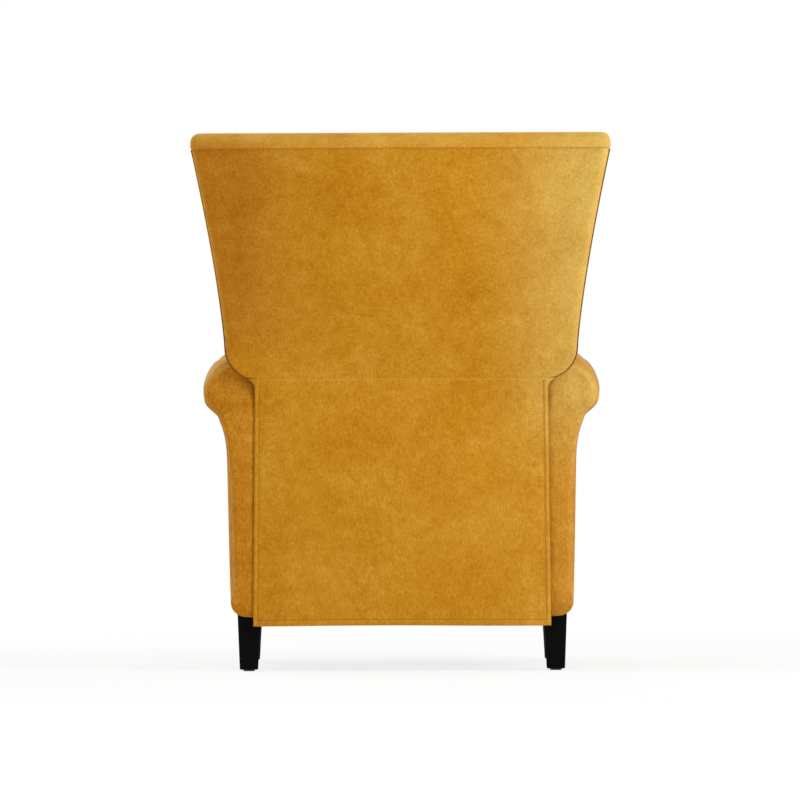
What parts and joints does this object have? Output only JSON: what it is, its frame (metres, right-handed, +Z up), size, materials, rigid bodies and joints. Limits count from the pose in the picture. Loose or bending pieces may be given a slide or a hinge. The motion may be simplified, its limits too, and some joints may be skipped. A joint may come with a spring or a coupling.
{
  "type": "push-back recliner",
  "caption": "Push-back recliner with rolled arms, a tall flared back, a hanging rear flap, tapered legs and a scissor-linked footrest.",
  "frame": {"origin": "on the floor, centred under the chair's bounding box in its upright, closed state", "axes": "+Z up, -Y the way the sitter faces, +X towards the sitter's left arm"},
  "size_m": [0.802, 0.8471, 1.03],
  "materials": {
    "velvet": "matte",
    "velvet_arm": "matte",
    "black_leg": "satin",
    "glide": "matte",
    "frame_wood": "matte",
    "mech_black": "satin",
    "mech_zinc": "satin",
    "spring_steel": "satin"
  },
  "bodies": {
    "base": {"arm_left": "velvet_arm", "arm_right": "velvet_arm", "arm_facing_left": "velvet_arm", "arm_facing_right": "velvet_arm", "sill_left": "frame_wood", "sill_right": "frame_wood", "front_rail": "frame_wood", "rear_rail": "frame_wood", "leg_front_left": "black_leg", "leg_front_right": "black_leg", "leg_rear_left": "black_leg", "leg_rear_right": "black_leg", "glides": "glide", "base_plate_left": "mech_black", "base_plate_right": "mech_black"},
    "swing_links": {"swing_link_left": "mech_zinc", "swing_link_right": "mech_zinc", "swing_tube": "mech_zinc"},
    "seat": {"seat_plate_left": "mech_zinc", "seat_plate_right": "mech_zinc", "seat_rail_left": "frame_wood", "seat_rail_right": "frame_wood", "seat_rail_front": "frame_wood", "seat_rail_rear": "frame_wood", "seat_apron": "velvet", "seat_springs": "spring_steel", "seat_cushion": "velvet"},
    "long_links": {"long_link_left": "mech_zinc", "long_link_right": "mech_zinc", "scissor_tube": "mech_zinc"},
    "cross_links": {"cross_link_left": "mech_zinc", "cross_link_right": "mech_zinc"},
    "end_links": {"end_link_left": "mech_zinc", "end_link_right": "mech_zinc"},
    "footrest": {"foot_bracket_left": "mech_black", "foot_bracket_right": "mech_black", "foot_board": "frame_wood", "foot_cushion": "velvet"},
    "back": {"back_bracket_left": "mech_black", "back_bracket_right": "mech_black", "back_stile_left": "frame_wood", "back_stile_right": "frame_wood", "back_rail_low": "frame_wood", "back_rail_high": "frame_wood", "back_shell": "velvet", "back_pad": "velvet", "lumbar_pad": "velvet"},
    "flap": {"rear_flap": "velvet"}
  },
  "joints": [
    {"name": "footrest_open", "type": "hinge", "parent": "base", "child": "swing_links", "pos_m": [0, -0.192, 0.19], "axis": [1, 0, 0], "range_deg": [0, 50]},
    {"name": "seat_tilt", "type": "hinge", "parent": "swing_links", "child": "seat", "pos_m": [0, -0.14961, 0.25784], "axis": [1, 0, 0], "range_deg": [-56, 0]},
    {"name": "long_link_turn", "type": "hinge", "parent": "seat", "child": "long_links", "pos_m": [0, -0.296, 0.328], "axis": [-1, 0, 0], "range_deg": [0, 74]},
    {"name": "cross_link_turn", "type": "hinge", "parent": "long_links", "child": "cross_links", "pos_m": [0, -0.31575, 0.23508], "axis": [-1, 0, 0], "range_deg": [-148, 0]},
    {"name": "end_link_turn", "type": "hinge", "parent": "long_links", "child": "end_links", "pos_m": [0, -0.3355, 0.14215], "axis": [-1, 0, 0], "range_deg": [-148, 0]},
    {"name": "footrest_turn", "type": "hinge", "parent": "cross_links", "child": "footrest", "pos_m": [0, -0.32238, 0.32984], "axis": [-1, 0, 0], "range_deg": [0, 148]},
    {"name": "back_recline", "type": "hinge", "parent": "base", "child": "back", "pos_m": [0, 0.225, 0.42], "axis": [-1, 0, 0], "range_deg": [0, 30]},
    {"name": "flap_hang", "type": "hinge", "parent": "back", "child": "flap", "pos_m": [0, 0.3125, 0.5572], "axis": [-1, 0, 0], "range_deg": [-30, 0]}
  ],
  "couplings": [
    {"joint": "seat_tilt", "follows": "footrest_open", "ratio": -1.12},
    {"joint": "long_link_turn", "follows": "footrest_open", "ratio": 1.48},
    {"joint": "cross_link_turn", "follows": "footrest_open", "ratio": -2.96},
    {"joint": "end_link_turn", "follows": "footrest_open", "ratio": -2.96},
    {"joint": "footrest_turn", "follows": "footrest_open", "ratio": 2.96},
    {"joint": "flap_hang", "follows": "back_recline", "ratio": -1}
  ]
}
